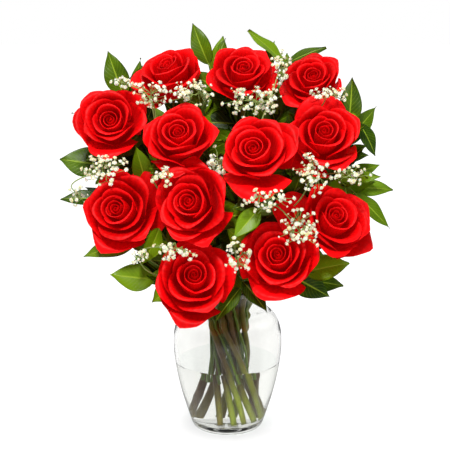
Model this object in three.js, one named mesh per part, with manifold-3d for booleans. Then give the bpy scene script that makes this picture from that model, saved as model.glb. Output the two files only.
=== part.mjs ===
// A dozen open red roses with salal foliage and baby's breath, standing in water in a clear glass
// ginger vase. Millimetres, +Z up. The origin is the centre of the vase's foot on the table, and
// the bouquet's show side faces -Y.
//
// A rose is a bloom on a stem. A foliage sprig is one solid of a stem, its twigs and their leaves,
// and a spray of baby's breath is one of a thin stem that branches to small round blossoms.
import * as THREE from "three";
import { mergeVertices } from "three/addons/utils/BufferGeometryUtils.js";
import Module from "manifold-3d";

const wasm = await Module();
wasm.setup();

// ---------------------------------------------------------------- driving dimensions
const GAP = 0.35; // air left between two pieces that touch
const CLEARANCE = 1.6; // air between stems where they pass each other

const GLASS_WALL = 3;
const GLASS_FLOOR = 9;
const GLASS_SIDES = 24;
const GLASS_STEPS = 12; // up the wall
const WATER_LEVEL = 80;
const DIP = 18; // of the stems of the foliage and baby's breath, which are cut short, into the water
// Outside of the glass from the foot to the lip: [radius, height].
const GLASS_OUTLINE = [
  [35, 0], [41, 5], [46, 20], [54, 46], [60.5, 78], [62.5, 105], [59, 127],
  [49, 140], [39, 147], [36.5, 154], [38, 161], [43, 168],
];
const LIP_HEIGHT = GLASS_OUTLINE.at(-1)[1];

const NECK_HEIGHT = 150; // where the stems squeeze through
const NECK_REACH = 27; // from the axis to a stem that leans on the neck
const FOOT_REACH = 36; // and to its foot
const TWIST = THREE.MathUtils.degToRad(105); // from a stem's place in the neck to its foot
const LOW_HEAD = 185;
const HIGH_HEAD = 410;
const STEM_STEPS = 11;
const TWIG_STEP = 30;
const FORK_ANGLE = THREE.MathUtils.degToRad(35);
const SETTLING_ROUNDS = 160;

const ROSE_STEM_RADIUS = 3.2;
const HIP_LENGTH = 9; // the swollen green cup between stem and petals
const HIP_RADIUS = 6;
const BLOOM_HEIGHT = 1.2; // of the bloom's radius
const BLOOM_LOBES = 5;
// A bloom from its hip to its face: [share of its radius, share of its height, depth of the lobes].
const BLOOM_OUTLINE = [
  [0.13, 0, 0], [0.48, 0.13, 0.02], [0.78, 0.37, 0.04], [0.97, 0.65, 0.06],
  [0.9, 0.8, 0.04], [0.42, 0.93, 0.03], [0.15, 0.98, 0],
];

const TWIG_RADIUS = 1.6;
const LEAF_THICKNESS = 1.2;
const LEAF_SPACING = 15;
const LEAF_SPLAY = THREE.MathUtils.degToRad(42);
const LEAF_TURN = THREE.MathUtils.degToRad(20); // about the twig, from one leaf to the next
const LEAF_DROOP = 0.14; // of the leaf's length, at the tip

const SPRAY_STEM_RADIUS = 1.1;
const SPRAY_BRANCH_RADIUS = 0.7;
const BLOSSOM_RADIUS = 4;
const BLOSSOMS_PER_HEAD = 4;

// ---------------------------------------------------------------- what stands in the vase
// at is the middle of the bloom's face and face the way it looks, as [turn to the right from the
// front, lift above the horizon] in degrees.
const ROSES = [
  { at: [-74, 4, 427], face: [-34, 54], radius: 41 },
  { at: [15, -6, 427], face: [-2, 48], radius: 37 },
  { at: [92, 4, 416], face: [-12, 44], radius: 35 },
  { at: [-130, -42, 373], face: [-6, 30], radius: 39 },
  { at: [-54, -84, 367], face: [-8, 44], radius: 40 },
  { at: [28, -104, 352], face: [-8, 38], radius: 42 },
  { at: [105, -62, 360], face: [2, 36], radius: 43 },
  { at: [-120, -82, 279], face: [-10, 24], radius: 44 },
  { at: [-43, -122, 290], face: [-14, 18], radius: 44 },
  { at: [124, -80, 269], face: [24, 32], radius: 43 },
  { at: [-36, -114, 211], face: [2, 30], radius: 44 },
  { at: [51, -110, 232], face: [-10, 28], radius: 42 },
];

// Each sprig's first twig ends its stem and the others fork from it. A twig ends in a leaf whose
// point is at tip; aim is the way it grows and roll turns its leaves about it, in degrees.
const SPRIGS = [
  [
    { tip: [-138, 30, 435], aim: [-0.36, 0, 0.93], roll: 70, leaves: 3, leaf: 56, width: 0.44 },
    { tip: [-102, 45, 427], aim: [0.1, 0.1, 1], roll: 45, leaves: 2, leaf: 40, width: 0.4 },
    { tip: [-174, 10, 372], aim: [-0.85, 0, 0.5], roll: -50, leaves: 2, leaf: 46, width: 0.42 },
  ],
  [
    { tip: [-43, 48, 464], aim: [-0.42, 0, 0.9], roll: 70, leaves: 3, leaf: 50, width: 0.4 },
    { tip: [-3, 50, 449], aim: [0.35, 0.1, 1], roll: 60, leaves: 2, leaf: 44, width: 0.42 },
    { tip: [-25, -36, 394], aim: [0.1, -0.3, 1], roll: 60, leaves: 2, leaf: 38, width: 0.4 },
  ],
  [
    { tip: [111, 52, 443], aim: [0.87, 0, 0.5], roll: 40, leaves: 3, leaf: 52, width: 0.3 },
    { tip: [26, 50, 460], aim: [-0.69, 0, 0.72], roll: -40, leaves: 2, leaf: 54, width: 0.32 },
    { tip: [72, 66, 432], aim: [0.1, 0.3, 1], roll: 30, leaves: 2, leaf: 46, width: 0.4 },
  ],
  [
    { tip: [143, 20, 406], aim: [0.1, 0, 1], roll: -40, leaves: 3, leaf: 56, width: 0.4 },
    { tip: [172, 10, 318], aim: [0.5, 0, -0.8], roll: 60, leaves: 2, leaf: 42, width: 0.46 },
    { tip: [161, 20, 357], aim: [0.7, 0.1, 0.7], roll: 40, leaves: 2, leaf: 42, width: 0.4 },
  ],
  [
    { tip: [190, 6, 282], aim: [1, 0, 0], roll: 60, leaves: 3, leaf: 48, width: 0.38 },
    { tip: [175, 12, 308], aim: [0.9, 0.1, 0.3], roll: 60, leaves: 2, leaf: 42, width: 0.36 },
    { tip: [187, -14, 240], aim: [0.75, -0.1, -0.65], roll: 60, leaves: 3, leaf: 56, width: 0.3 },
  ],
  [
    { tip: [133, -62, 212], aim: [0.95, -0.2, 0.3], roll: 60, leaves: 3, leaf: 50, width: 0.54 },
    { tip: [130, -50, 184], aim: [0.95, -0.1, -0.05], roll: 60, leaves: 1, leaf: 50, width: 0.42 },
    { tip: [74, -98, 280], aim: [0.1, -0.7, 0.6], roll: 60, leaves: 2, leaf: 40, width: 0.4 },
  ],
  [
    { tip: [-14, -99, 157], aim: [-0.6, -0.55, -0.6], roll: -30, leaves: 1, leaf: 46, width: 0.36 },
    { tip: [45, -97, 167], aim: [0.6, -0.6, -0.5], roll: 30, leaves: 2, leaf: 46, width: 0.38 },
    { tip: [8, -122, 252], aim: [-0.55, -0.5, -0.6], roll: -50, leaves: 2, leaf: 42, width: 0.46 },
  ],
  [
    { tip: [-129, -66, 199], aim: [-0.95, -0.25, 0.2], roll: -75, leaves: 3, leaf: 50, width: 0.54 },
    { tip: [-160, -58, 219], aim: [-0.95, -0.2, -0.2], roll: -60, leaves: 3, leaf: 62, width: 0.34 },
    { tip: [-87, -98, 216], aim: [-0.25, -0.6, -0.7], roll: -70, leaves: 1, leaf: 46, width: 0.46 },
  ],
  [
    { tip: [-194, 28, 314], aim: [-0.95, 0, 0.2], roll: -60, leaves: 3, leaf: 54, width: 0.62 },
    { tip: [-193, 20, 270], aim: [-0.95, -0.1, 0.1], roll: -50, leaves: 3, leaf: 48, width: 0.38 },
    { tip: [-100, -44, 334], aim: [-0.2, -0.4, 0.9], roll: 40, leaves: 2, leaf: 42, width: 0.46 },
  ],
  [
    { tip: [-96, 112, 372], aim: [-0.45, 0.6, 0.65], roll: -10, leaves: 3, leaf: 56, width: 0.44 },
    { tip: [-150, 66, 318], aim: [-0.8, 0.5, 0.3], roll: -30, leaves: 3, leaf: 54, width: 0.44 },
    { tip: [-104, 98, 240], aim: [-0.7, 0.7, -0.1], roll: -20, leaves: 2, leaf: 52, width: 0.46 },
  ],
  [
    { tip: [94, 114, 366], aim: [0.45, 0.6, 0.65], roll: 10, leaves: 3, leaf: 56, width: 0.44 },
    { tip: [150, 68, 304], aim: [0.8, 0.5, 0.2], roll: 30, leaves: 3, leaf: 54, width: 0.44 },
    { tip: [100, 100, 232], aim: [0.7, 0.7, -0.1], roll: 20, leaves: 2, leaf: 52, width: 0.46 },
  ],
  [
    { tip: [-6, 132, 330], aim: [0, 0.8, 0.5], roll: 0, leaves: 3, leaf: 56, width: 0.44 },
    { tip: [6, 128, 232], aim: [0, 1, -0.1], roll: 0, leaves: 3, leaf: 54, width: 0.46 },
    { tip: [2, 84, 410], aim: [0, 0.4, 0.9], roll: 0, leaves: 2, leaf: 50, width: 0.42 },
  ],
];

// Each spray's first head of blossoms ends its stem and the others fork from it. at is the middle
// of a head and spread its radii along x, y and z.
const SPRAYS = [
  [
    { at: [-84, -34, 392], spread: [20, 12, 14] },
    { at: [-38, -46, 394], spread: [26, 12, 14] },
    { at: [-118, -22, 404], spread: [12, 10, 8] },
  ],
  [
    { at: [30, -54, 388], spread: [32, 14, 18] },
    { at: [58, 0, 418], spread: [12, 12, 18] },
    { at: [-11, -84, 330], spread: [12, 10, 20] },
  ],
  [
    { at: [109, -30, 390], spread: [20, 10, 10] },
    { at: [130, -76, 311], spread: [20, 10, 10] },
    { at: [88, -96, 314], spread: [18, 10, 20] },
  ],
  [
    { at: [42, -118, 292], spread: [26, 8, 12] },
    { at: [76, -106, 256], spread: [20, 8, 22] },
    { at: [11, -120, 230], spread: [12, 8, 22] },
  ],
  [
    { at: [-132, -60, 310], spread: [26, 12, 18] },
    { at: [-163, -48, 282], spread: [12, 10, 10] },
    { at: [-66, -106, 312], spread: [12, 8, 12] },
  ],
  [
    { at: [-97, -104, 228], spread: [10, 8, 8] },
    { at: [-53, -118, 240], spread: [22, 8, 12] },
  ],
  [
    { at: [-44, 74, 384], spread: [28, 24, 18] },
    { at: [48, 78, 376], spread: [28, 24, 18] },
    { at: [0, 112, 296], spread: [30, 16, 20] },
  ],
];

// ---------------------------------------------------------------- solids
const vec = (p) => new THREE.Vector3(...p);
const inPlan = (radius, angle, z) =>
  new THREE.Vector3(radius * Math.cos(angle), radius * Math.sin(angle), z);

// A closed three.js geometry as a solid that can be joined and cut.
function solid(geometry) {
  const bare = new THREE.BufferGeometry()
    .setAttribute("position", geometry.getAttribute("position"))
    .setIndex(geometry.index);
  const merged = mergeVertices(bare, 1e-3);
  return new wasm.Manifold(
    new wasm.Mesh({
      numProp: 3,
      vertProperties: merged.attributes.position.array,
      triVerts: new Uint32Array(merged.index.array),
    }),
  );
}

function geometryOf(shape) {
  const { vertProperties, triVerts } = shape.getMesh();
  return new THREE.BufferGeometry()
    .setAttribute("position", new THREE.BufferAttribute(new Float32Array(vertProperties), 3))
    .setIndex(new THREE.BufferAttribute(new Uint32Array(triVerts), 1));
}

const largest = (shape) =>
  shape.decompose().reduce((best, each) => (each.volume() > best.volume() ? each : best));

const cut = (shape, tools) => largest(tools.reduce((rest, tool) => rest.subtract(tool), shape));

const smooth = (points) => new THREE.CatmullRomCurve3(points, false, "centripetal");

// A round rod along a smooth line through points.
function rod(points, radius, sides, steps = points.length - 1) {
  const section = new THREE.Shape(
    Array.from({ length: sides }, (_, i) => {
      const angle = (2 * Math.PI * i) / sides;
      return new THREE.Vector2(radius * Math.cos(angle), radius * Math.sin(angle));
    }),
  );
  return new THREE.ExtrudeGeometry(section, { steps, extrudePath: smooth(points) });
}

// Turns a geometry made about +Z so that its axis runs along axis from place.
function stood(geometry, place, axis) {
  const turn = new THREE.Quaternion().setFromUnitVectors(new THREE.Vector3(0, 0, 1), axis);
  return geometry.applyQuaternion(turn).translate(place.x, place.y, place.z);
}

// ---------------------------------------------------------------- vase and water
const outline = new THREE.SplineCurve(GLASS_OUTLINE.map((p) => new THREE.Vector2(...p)));

// The glass outline moved inwards by depth, down to a floor at that height with a rounded corner.
function innerLine(depth, floor, top) {
  const wall = Array.from({ length: GLASS_STEPS }, (_, i) => {
    const tangent = outline.getTangent(i / (GLASS_STEPS - 1));
    const inwards = new THREE.Vector2(-tangent.y, tangent.x).multiplyScalar(depth);
    return outline.getPoint(i / (GLASS_STEPS - 1)).add(inwards);
  }).filter((point) => point.y > floor + 5 && point.y < top);
  const corner = [[-7, 0], [-2, 1.5]].map(([x, z]) => new THREE.Vector2(wall[0].x + x, floor + z));
  return [new THREE.Vector2(0, floor), ...corner, ...wall];
}

function turned(line) {
  return new THREE.LatheGeometry(line, GLASS_SIDES).rotateX(Math.PI / 2);
}

function makeVase() {
  const outer = outline.getPoints(GLASS_STEPS);
  const lip = outer.at(-1);
  const inner = innerLine(GLASS_WALL, GLASS_FLOOR, lip.y - 1);
  const crown = new THREE.Vector2(lip.x - GLASS_WALL / 2, lip.y + 1);
  return solid(turned([new THREE.Vector2(0, 0), ...outer, crown, ...inner.reverse()]));
}

function makeWater() {
  const side = innerLine(GLASS_WALL + GAP, GLASS_FLOOR + GAP, WATER_LEVEL);
  const edge = new THREE.Vector2(side.at(-1).x, WATER_LEVEL);
  return solid(turned([...side, edge, new THREE.Vector2(0, WATER_LEVEL)]));
}

// Radius of the room inside the glass at a height.
const outlinePoints = outline.getPoints(5 * GLASS_STEPS);
function roomAt(height) {
  const z = THREE.MathUtils.clamp(height, 1, LIP_HEIGHT - 4);
  const above = outlinePoints.findIndex((p) => p.y >= z);
  const [a, b] = [outlinePoints[above - 1], outlinePoints[above]];
  return THREE.MathUtils.mapLinear(z, a.y, b.y, a.x, b.x) - GLASS_WALL;
}

// ---------------------------------------------------------------- routes of the stems
// A line that bends from start, where it runs along way, to end, where it runs along aim. Its last
// stretch is straight.
function bend(start, way, end, aim, straight) {
  const away = end.distanceTo(start);
  const tail = end.clone().addScaledVector(aim, -straight);
  const curve = new THREE.CubicBezierCurve3(
    start,
    start.clone().addScaledVector(way, 0.35 * away),
    tail.clone().addScaledVector(aim, -0.3 * away),
    tail,
  );
  return straight ? [...curve.getPoints(8), end.clone()] : curve.getPoints(8);
}

// The line cut into equal steps, whose points may be pushed aside, except for the last one.
function routeOf(line, radius, steps) {
  const points = smooth(line).getSpacedPoints(steps);
  return { points, radius, nudge: points.map(() => new THREE.Vector3()) };
}

// A stem stands on the vase's floor, or ends at a height of its own, leans through the neck and
// bends to its head. Low heads lean on the lip and high ones stand in the middle, and every foot is
// turned the same way round from the neck, as in a bunch that is bound in a spiral.
function stemRoute(end, aim, radius, straight = 0, cutAt = null) {
  const height = THREE.MathUtils.clamp(end.z, LOW_HEAD, HIGH_HEAD);
  const lean = THREE.MathUtils.mapLinear(height, LOW_HEAD, HIGH_HEAD, 1, 0.35);
  const angle = Math.atan2(end.y, end.x);
  const neck = inPlan(NECK_REACH * lean, angle, NECK_HEIGHT);
  const foot = inPlan(FOOT_REACH * (0.8 + 0.2 * lean), angle + TWIST, GLASS_FLOOR + 4);
  if (cutAt) foot.lerp(neck, (cutAt - foot.z) / (NECK_HEIGHT - foot.z));
  const way = neck.clone().sub(foot).normalize();
  const line = [foot, foot.clone().lerp(neck, 0.33), foot.clone().lerp(neck, 0.67)];
  return routeOf([...line, ...bend(neck, way, end, aim, straight)], radius, STEM_STEPS);
}

// A twig leaves its stem above the lip, where it turns off most nearly at the fork angle.
function twigRoute(stem, end, aim, radius, straight = 0) {
  const turnOff = (p, i) => {
    if (p.z < LIP_HEIGHT + 8 || i + 2 > stem.points.length) return Infinity;
    const way = stem.points[i + 1].clone().sub(p);
    return Math.abs(way.angleTo(end.clone().sub(p)) - FORK_ANGLE);
  };
  const turns = stem.points.map(turnOff);
  const fork = turns.indexOf(Math.min(...turns));
  const start = stem.points[fork];
  const way = stem.points[fork + 1].clone().sub(start).normalize();
  const line = bend(start.clone(), way, end, aim, straight);
  const steps = Math.max(3, Math.round(end.distanceTo(start) / TWIG_STEP));
  return { ...routeOf(line, radius, steps), stem, fork };
}

// The nearest points of two stretches, as shares of each.
function nearest(a, b, c, d) {
  const [u, v, w] = [b.clone().sub(a), d.clone().sub(c), a.clone().sub(c)];
  const [uu, uv, vv, uw, vw] = [u.dot(u), u.dot(v), v.dot(v), u.dot(w), v.dot(w)];
  const clamp = (x) => THREE.MathUtils.clamp(x, 0, 1);
  const det = uu * vv - uv * uv;
  let s = det > 1e-6 ? clamp((uv * vw - vv * uw) / det) : 0.5;
  const t = clamp((uv * s + vw) / vv);
  s = clamp((uv * t - uw) / uu);
  return [s, t];
}

// How far a point at out from the bloom's foot reaches into the bloom, as a push outwards.
function outOf(bloom, out, radius) {
  const along = out.dot(bloom.axis) / (BLOOM_HEIGHT * bloom.radius);
  if (along < 0 || along > 1) return null;
  const i = BLOOM_OUTLINE.findIndex(([, h], k) => k && h >= along);
  if (i < 0) return null;
  const [[r0, h0], [r1, h1]] = [BLOOM_OUTLINE[i - 1], BLOOM_OUTLINE[i]];
  const width = THREE.MathUtils.mapLinear(along, h0, h1, r0, r1) * 1.06 * bloom.radius;
  const aside = out.clone().projectOnPlane(bloom.axis);
  const short = width + radius + 1.5 * CLEARANCE - aside.length();
  return short > 0 ? aside.setLength(short) : null;
}

// How far a point in the vase reaches into the glass, as a push inwards.
function offTheGlass(point, radius) {
  const over = Math.hypot(point.x, point.y) + radius + CLEARANCE - roomAt(point.z);
  if (point.z > LIP_HEIGHT + 4 || over < 0) return null;
  return new THREE.Vector3(-point.x, -point.y, 0).setLength(over);
}

function push(route, i, share, by) {
  if (i > 0 && i < route.points.length - 1) route.nudge[i].addScaledVector(by, share);
  // A foot only slides at its height.
  if (i === 0 && !route.stem) route.nudge[i].addScaledVector(by.clone().setZ(0), share);
}

function pushApart(a, b) {
  const need = a.radius + b.radius + CLEARANCE;
  for (let i = 0; i + 1 < a.points.length; i++) {
    for (let j = 0; j + 1 < b.points.length; j++) {
      const [p, q, r, s] = [a.points[i], a.points[i + 1], b.points[j], b.points[j + 1]];
      if (Math.min(p.z, q.z) - Math.max(r.z, s.z) > need) continue;
      if (Math.min(r.z, s.z) - Math.max(p.z, q.z) > need) continue;
      const [u, v] = nearest(p, q, r, s);
      const between = p.clone().lerp(q, u).sub(r.clone().lerp(s, v));
      const away = between.length();
      if (away >= need) continue;
      between.multiplyScalar((0.5 * (need - away)) / Math.max(away, 1e-3));
      push(a, i, 1 - u, between);
      push(a, i + 1, u, between);
      push(b, j, v - 1, between);
      push(b, j + 1, -v, between);
    }
  }
}

function pushFromThings(route, blooms) {
  route.points.forEach((p, i) => {
    for (const share of [0, 0.33, 0.67]) {
      const point = p.clone().lerp(route.points[i + 1] ?? p, share);
      const pushes = blooms
        .filter((bloom) => bloom !== route.bloom)
        .map((bloom) => outOf(bloom, point.clone().sub(bloom.foot), route.radius));
      for (const by of [...pushes, offTheGlass(point, route.radius)]) {
        if (!by) continue;
        push(route, i, 1, by);
        if (share) push(route, i + 1, 1, by);
      }
    }
  });
}

// Each push spreads along the stem, so that it bends smoothly.
function move(route) {
  const { points, nudge, stem, fork } = route;
  const spread = nudge.map((n, i) => {
    const beside = (nudge[i - 1] ?? n).clone().add(nudge[i + 1] ?? n);
    return n.clone().multiplyScalar(0.5).addScaledVector(beside, 0.25);
  });
  points.slice(0, -1).forEach((p, i) => p.add(spread[i]));
  nudge.forEach((n) => n.set(0, 0, 0));
  if (stem) points[0].copy(stem.points[fork]);
}

// The pieces push each other, the blooms and the glass aside until none touch.
function settle(plants, blooms) {
  for (let round = 0; round < SETTLING_ROUNDS; round++) {
    plants.forEach((plant, k) => {
      for (const other of plants.slice(k + 1)) {
        plant.forEach((a) => other.forEach((b) => pushApart(a, b)));
      }
    });
    plants.flat().forEach((route) => pushFromThings(route, blooms));
    plants.flat().forEach(move);
  }
}

// ---------------------------------------------------------------- roses
function facing([turn, lift]) {
  const [t, l] = [turn, lift].map(THREE.MathUtils.degToRad);
  return new THREE.Vector3(Math.sin(t) * Math.cos(l), -Math.cos(t) * Math.cos(l), Math.sin(l));
}

// Where a rose stands: its axis, the foot of its bloom and the way its stem arrives there.
function placed({ at, face, radius }) {
  const axis = facing(face);
  const foot = vec(at).addScaledVector(axis, -BLOOM_HEIGHT * radius);
  const lean = foot.clone().setZ(foot.z - NECK_HEIGHT).normalize();
  return { axis, foot, radius, aim: axis.clone().add(lean).normalize() };
}

// A bloom is a cup of lobed rings that closes to a flat face.
function bloomSolid({ axis, foot, radius }, margin) {
  const height = BLOOM_HEIGHT * radius;
  const line = BLOOM_OUTLINE.map(([r, h]) => new THREE.Vector2(r * radius + margin, h * height));
  line.unshift(new THREE.Vector2(0, -margin));
  line.push(new THREE.Vector2(0, 0.97 * height + margin));
  const cup = new THREE.LatheGeometry(line, 2 * BLOOM_LOBES).rotateX(Math.PI / 2);
  const place = cup.getAttribute("position");
  for (let i = 0; i < place.count; i++) {
    const [x, y] = [place.getX(i), place.getY(i)];
    const ring = Math.min(Math.max((i % line.length) - 1, 0), BLOOM_OUTLINE.length - 1);
    const lobe = 1 + BLOOM_OUTLINE[ring][2] * Math.cos(BLOOM_LOBES * Math.atan2(y, x) + ring);
    place.setXY(i, x * lobe, y * lobe);
  }
  return solid(stood(cup, foot.clone().addScaledVector(axis, GAP), axis));
}

function roseStemSolid({ axis, foot }, points, margin) {
  const stalk = solid(rod(points, ROSE_STEM_RADIUS + margin, 6));
  const hip = new THREE.LatheGeometry([
    new THREE.Vector2(0, -HIP_LENGTH),
    new THREE.Vector2(ROSE_STEM_RADIUS + 0.4 + margin, -HIP_LENGTH),
    new THREE.Vector2(HIP_RADIUS + margin, -HIP_LENGTH / 2),
    new THREE.Vector2(HIP_RADIUS - 1 + margin, 0),
    new THREE.Vector2(0, 0),
  ], 6).rotateX(Math.PI / 2);
  return stalk.add(solid(stood(hip, foot, axis)));
}

// ---------------------------------------------------------------- foliage
// A pointed oval blade from its stalk at the origin along +X, drooping towards its tip.
function leafGeometry(length, width, margin) {
  const half = (x) => 0.9 + 0.5 * width * length * Math.sin(Math.PI * x ** 0.8);
  const side = [0, 0.25, 0.6].map((x) => new THREE.Vector2(x * length, half(x) + margin));
  const shape = new THREE.Shape([
    ...side,
    new THREE.Vector2(length + margin, 0),
    ...side.map((p) => new THREE.Vector2(p.x, -p.y)).reverse(),
  ]);
  const depth = LEAF_THICKNESS + 2 * margin;
  const blade = new THREE.ExtrudeGeometry(shape, { depth, bevelEnabled: false });
  blade.translate(0, 0, -depth / 2);
  const place = blade.getAttribute("position");
  for (let i = 0; i < place.count; i++) {
    const x = place.getX(i);
    place.setZ(i, place.getZ(i) - (LEAF_DROOP * x * x) / length);
  }
  return blade;
}

// The leaves of a twig lie to either side of it in turn, with their upper faces up or forward.
function leafSolids({ aim, roll, leaves, leaf, width }, end, margin) {
  const way = vec(aim).normalize();
  const level = new THREE.Vector3().crossVectors(way, new THREE.Vector3(0.02, 0.1, 1)).normalize();
  level.applyAxisAngle(way, THREE.MathUtils.degToRad(roll));
  return Array.from({ length: leaves }, (_, k) => {
    const across = level.clone().applyAxisAngle(way, LEAF_TURN * k);
    const normal = new THREE.Vector3().crossVectors(across, way).normalize();
    if (normal.dot(new THREE.Vector3(0, -0.5, 1)) < 0) normal.negate();
    const splay = k ? LEAF_SPLAY * (k % 2 ? -1 : 1) : 0;
    const along = way.clone().applyAxisAngle(normal, splay);
    const side = new THREE.Vector3().crossVectors(normal, along);
    const from = end.clone().addScaledVector(way, -1 - k * LEAF_SPACING);
    const place = new THREE.Matrix4().makeBasis(along, side, normal).setPosition(from);
    return solid(leafGeometry(leaf * (1 - 0.05 * k), width, margin).applyMatrix4(place));
  });
}

const twigEnd = ({ tip, aim, leaf }) => vec(tip).addScaledVector(vec(aim).normalize(), -leaf);

// The routes of a plant's stem and of the twigs that fork from it.
function plantRoutes([first, ...others], endOf, aimOf, radius, straightOf) {
  const cutAt = WATER_LEVEL - DIP;
  const stem = stemRoute(endOf(first), aimOf(first), radius, straightOf(first), cutAt);
  return [stem, ...others.map((twig) =>
    twigRoute(stem, endOf(twig), aimOf(twig), radius, straightOf(twig)))];
}

function sprigSolid(twigs, routes, margin) {
  const rods = routes.map(({ points }) => solid(rod(points, TWIG_RADIUS + margin, 4)));
  const leaves = twigs.flatMap((twig, i) => leafSolids(twig, routes[i].points.at(-1), margin));
  return [...rods, ...leaves].reduce((whole, piece) => whole.add(piece));
}

// ---------------------------------------------------------------- baby's breath
// A thin branch that ends in a blossom.
function branchGeometry(from, tip, margin) {
  const [thin, wide] = [SPRAY_BRANCH_RADIUS + margin, BLOSSOM_RADIUS + margin];
  const length = tip.distanceTo(from);
  const line = [[0, 0], [thin, 0], [thin, length - wide], [wide, length], [0, length + wide]];
  const club = new THREE.LatheGeometry(line.map((p) => new THREE.Vector2(...p)), 4);
  return stood(club.rotateX(Math.PI / 2), from, tip.clone().sub(from).normalize());
}

// Blossoms fill a head evenly by the golden angle.
function headSolids({ spread }, middle, margin) {
  return Array.from({ length: BLOSSOMS_PER_HEAD }, (_, k) => {
    const share = (k + 0.5) / BLOSSOMS_PER_HEAD;
    const angle = k * Math.PI * (3 - Math.sqrt(5));
    const out = Math.sqrt(share);
    const rise = (1 - share) * (k % 2 ? 1 : -1) + 0.2;
    const tip = new THREE.Vector3(out * Math.cos(angle), out * Math.sin(angle), rise)
      .multiply(vec(spread))
      .add(middle);
    return solid(branchGeometry(middle, tip, margin));
  });
}

const sprayRods = (routes, margin) =>
  routes.map(({ points }) => solid(rod(points, SPRAY_STEM_RADIUS + margin, 4)));

function spraySolid(heads, routes, margin) {
  const blossoms = heads.flatMap((head, i) => headSolids(head, routes[i].points.at(-1), margin));
  return [...sprayRods(routes, margin), ...blossoms].reduce((whole, piece) => whole.add(piece));
}

// ---------------------------------------------------------------- assembly
const roses = ROSES.map(placed);
const roseRoutes = roses.map((rose) => {
  const inHip = rose.foot.clone().addScaledVector(rose.axis, -0.6 * HIP_LENGTH);
  return { ...stemRoute(inHip, rose.aim, ROSE_STEM_RADIUS), bloom: rose };
});
const sprigRoutes = SPRIGS.map((twigs) =>
  plantRoutes(twigs, twigEnd, (t) => vec(t.aim).normalize(), TWIG_RADIUS,
    (t) => (t.leaves - 1) * LEAF_SPACING + 4));
const sprayRoutes = SPRAYS.map((heads) =>
  plantRoutes(heads, (h) => vec(h.at), () => new THREE.Vector3(0, -0.3, 1).normalize(),
    SPRAY_STEM_RADIUS, () => 0));
settle([...roseRoutes.map((r) => [r]), ...sprigRoutes, ...sprayRoutes], roses);

const material = (color, roughness, opacity = 1) =>
  new THREE.MeshStandardMaterial({ color, roughness, opacity, transparent: opacity < 1 });
const materials = {
  glass: material(0xe8efec, 0.05, 0.35),
  water: material(0xe4ece6, 0.05, 0.4),
  petals: material(0xd50a14, 0.55),
  stem: material(0x5c7a2a, 0.5),
  foliage: material(0x3f7a12, 0.4),
  blossom: material(0xf6f3e2, 0.8),
};

const group = new THREE.Group();
function addNode(name, shape, finish) {
  const mesh = new THREE.Mesh(geometryOf(shape), materials[finish]);
  mesh.name = name;
  group.add(mesh);
}
const numbered = (name, i) => `${name}_${String(i + 1).padStart(2, "0")}`;

addNode("glass_vase", makeVase(), "glass");

const inTheWay = [];
roses.forEach((rose, i) => {
  const { points } = roseRoutes[i];
  addNode(numbered("rose_bloom", i), bloomSolid(rose, 0), "petals");
  addNode(numbered("rose_stem", i), roseStemSolid(rose, points, 0), "stem");
  inTheWay.push(bloomSolid(rose, GAP), roseStemSolid(rose, points, GAP));
});
// The leaves give way to the stems of the sprays, and the blossoms to the leaves.
const sprayStems = sprayRoutes.flatMap((routes) => sprayRods(routes, GAP));
const leafy = SPRIGS.map((twigs, i) => {
  const shape = cut(sprigSolid(twigs, sprigRoutes[i], 0), [...inTheWay, ...sprayStems]);
  addNode(numbered("foliage_sprig", i), shape, "foliage");
  inTheWay.push(sprigSolid(twigs, sprigRoutes[i], GAP));
  return cut(inTheWay.at(-1), sprayStems);
});
const inTheSpraysWay = [...inTheWay.slice(0, -SPRIGS.length), ...leafy];
SPRAYS.forEach((heads, i) => {
  const shape = cut(spraySolid(heads, sprayRoutes[i], 0), inTheSpraysWay);
  addNode(numbered("gypsophila_spray", i), shape, "blossom");
  const room = spraySolid(heads, sprayRoutes[i], GAP);
  inTheSpraysWay.push(room);
  inTheWay.push(room);
});
addNode("water", cut(makeWater(), inTheWay), "water");

export default group;
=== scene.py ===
"""A dozen open red roses with salal foliage and baby's breath, in water in a clear glass vase."""

import heapq
import math

import bpy
import numpy as np
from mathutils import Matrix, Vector


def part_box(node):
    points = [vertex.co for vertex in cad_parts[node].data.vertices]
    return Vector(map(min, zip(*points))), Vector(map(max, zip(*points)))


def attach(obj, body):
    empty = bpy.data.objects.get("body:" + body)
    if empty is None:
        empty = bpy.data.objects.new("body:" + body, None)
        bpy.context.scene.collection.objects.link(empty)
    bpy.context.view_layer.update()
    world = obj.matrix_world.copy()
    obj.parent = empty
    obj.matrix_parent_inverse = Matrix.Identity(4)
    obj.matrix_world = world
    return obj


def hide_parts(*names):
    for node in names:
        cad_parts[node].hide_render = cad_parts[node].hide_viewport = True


MM = 0.001
UP = np.array([0.0, 0.0, 1.0])
rng = np.random.default_rng(12)

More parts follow.
